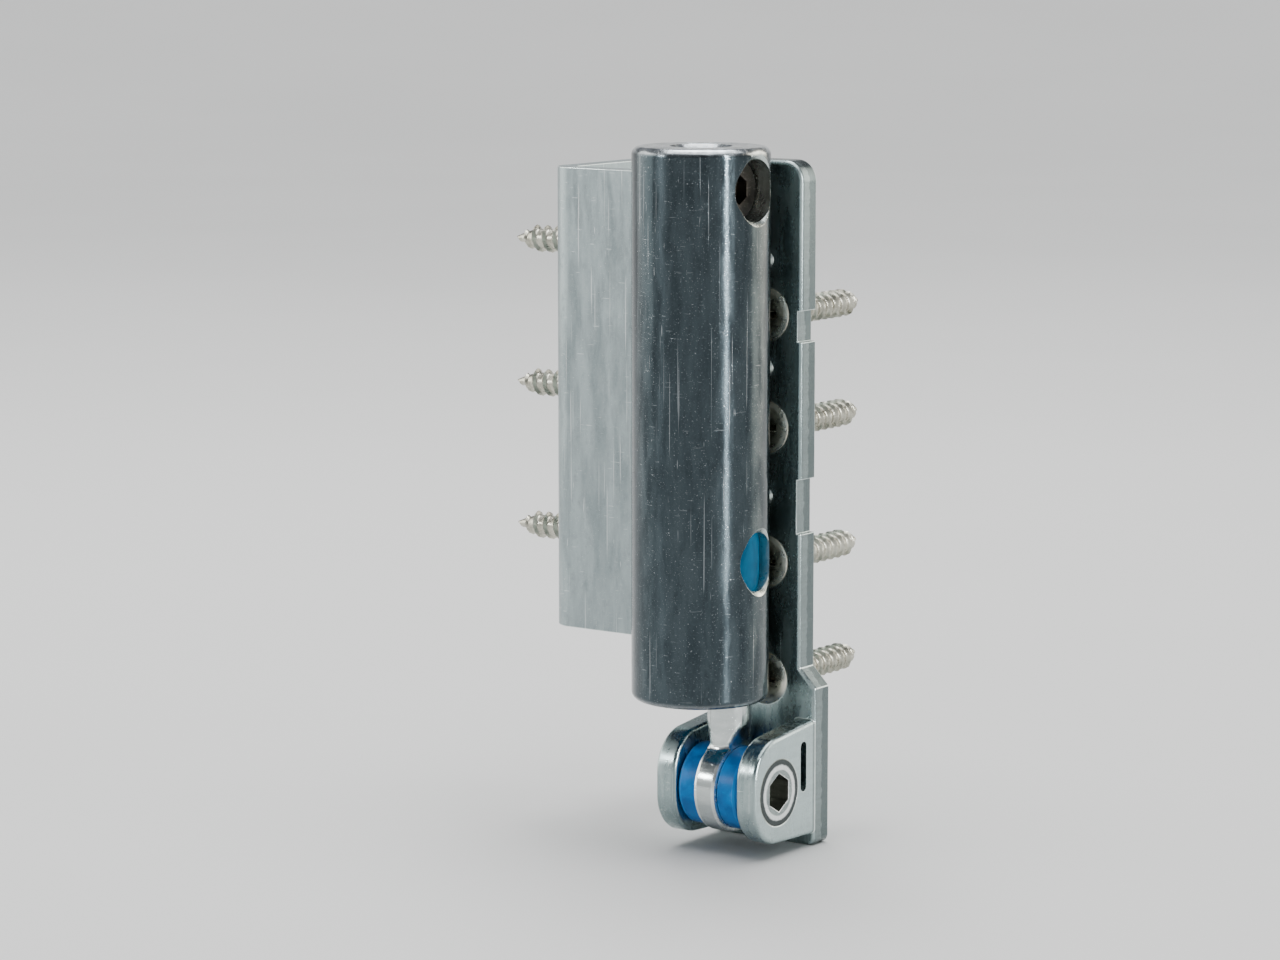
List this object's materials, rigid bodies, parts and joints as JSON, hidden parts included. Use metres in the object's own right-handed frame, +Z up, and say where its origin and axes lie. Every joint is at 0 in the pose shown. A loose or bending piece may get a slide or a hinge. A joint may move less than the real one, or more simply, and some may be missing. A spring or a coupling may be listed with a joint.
{
  "type": "tilt and turn window corner hinge",
  "caption": "Exposed bottom corner hinge for a tilt-and-turn window: screw plate with clevis, tilting eye pin in an adjustable barrel, and a bent sash leaf.",
  "frame": {"origin": "on the plate's back face, in the middle plane of the clevis, at the height of the tilt axle", "axes": "+Z up along the barrel, +Y out of the plate's back face into the window frame, +X along the tilt axle away from the sash"},
  "size_m": [0.0528, 0.0374, 0.0835],
  "materials": {
    "plate_zinc": "zinc-plated, pale blue passivated",
    "barrel_zinc": "zinc-plated, satin, lightly scratched",
    "pin_steel": "zinc-plated, brighter where it rubs",
    "screw_zinc": "zinc-plated with a faint yellow tint",
    "bush_blue": "azure acetal, semi-gloss",
    "washer_plastic": "natural acetal"
  },
  "bodies": {
    "frame_bearing": {"frame_plate": "plate_zinc", "tilt_axle": "pin_steel", "frame_screw_1": "screw_zinc", "frame_screw_2": "screw_zinc", "frame_screw_3": "screw_zinc", "frame_screw_4": "screw_zinc"},
    "tilting_pin": {"hinge_pin": "pin_steel", "tilt_bush_left": "bush_blue", "tilt_bush_right": "bush_blue"},
    "bush": {"eccentric_bush": "bush_blue", "thrust_washer": "washer_plastic"},
    "disc": {"thrust_disc": "pin_steel"},
    "sash_side": {"barrel": "barrel_zinc", "sash_leaf": "plate_zinc", "sash_screw_1": "screw_zinc", "sash_screw_2": "screw_zinc", "sash_screw_3": "screw_zinc"},
    "height_spindle": {"height_screw": "screw_zinc"},
    "lock_grub": {"height_lock_screw": "screw_zinc"}
  },
  "joints": [
    {"name": "tilt", "type": "hinge", "parent": "frame_bearing", "child": "tilting_pin", "pos_m": [0, -0.0104, 0], "axis": [1, 0, 0], "range_deg": [0, 10]},
    {"name": "side_adjust", "type": "hinge", "parent": "tilting_pin", "child": "bush", "pos_m": [0, -0.0104, 0.03], "axis": [0, 0, 1], "range_deg": [0, 15]},
    {"name": "turn", "type": "hinge", "parent": "bush", "child": "disc", "pos_m": [-0.0029, -0.01235, 0.062], "axis": [0, 0, 1], "range_deg": [0, 110]},
    {"name": "height_adjust", "type": "slide", "parent": "disc", "child": "sash_side", "axis": [0, 0, 1], "range_m": [0, 0.003]},
    {"name": "height_screw_turn", "type": "hinge", "parent": "disc", "child": "height_spindle", "pos_m": [-0.0029, -0.01235, 0.068], "axis": [0, 0, 1], "range_deg": [0, 1080]},
    {"name": "lock_grub_turn", "type": "hinge", "parent": "sash_side", "child": "lock_grub", "pos_m": [0.0014, -0.01235, 0.0707], "axis": [1, 0, 0], "range_deg": [-180, 180]}
  ],
  "couplings": [
    {"joint": "height_screw_turn", "follows": "height_adjust", "rad_per_m": 6283.2}
  ]
}
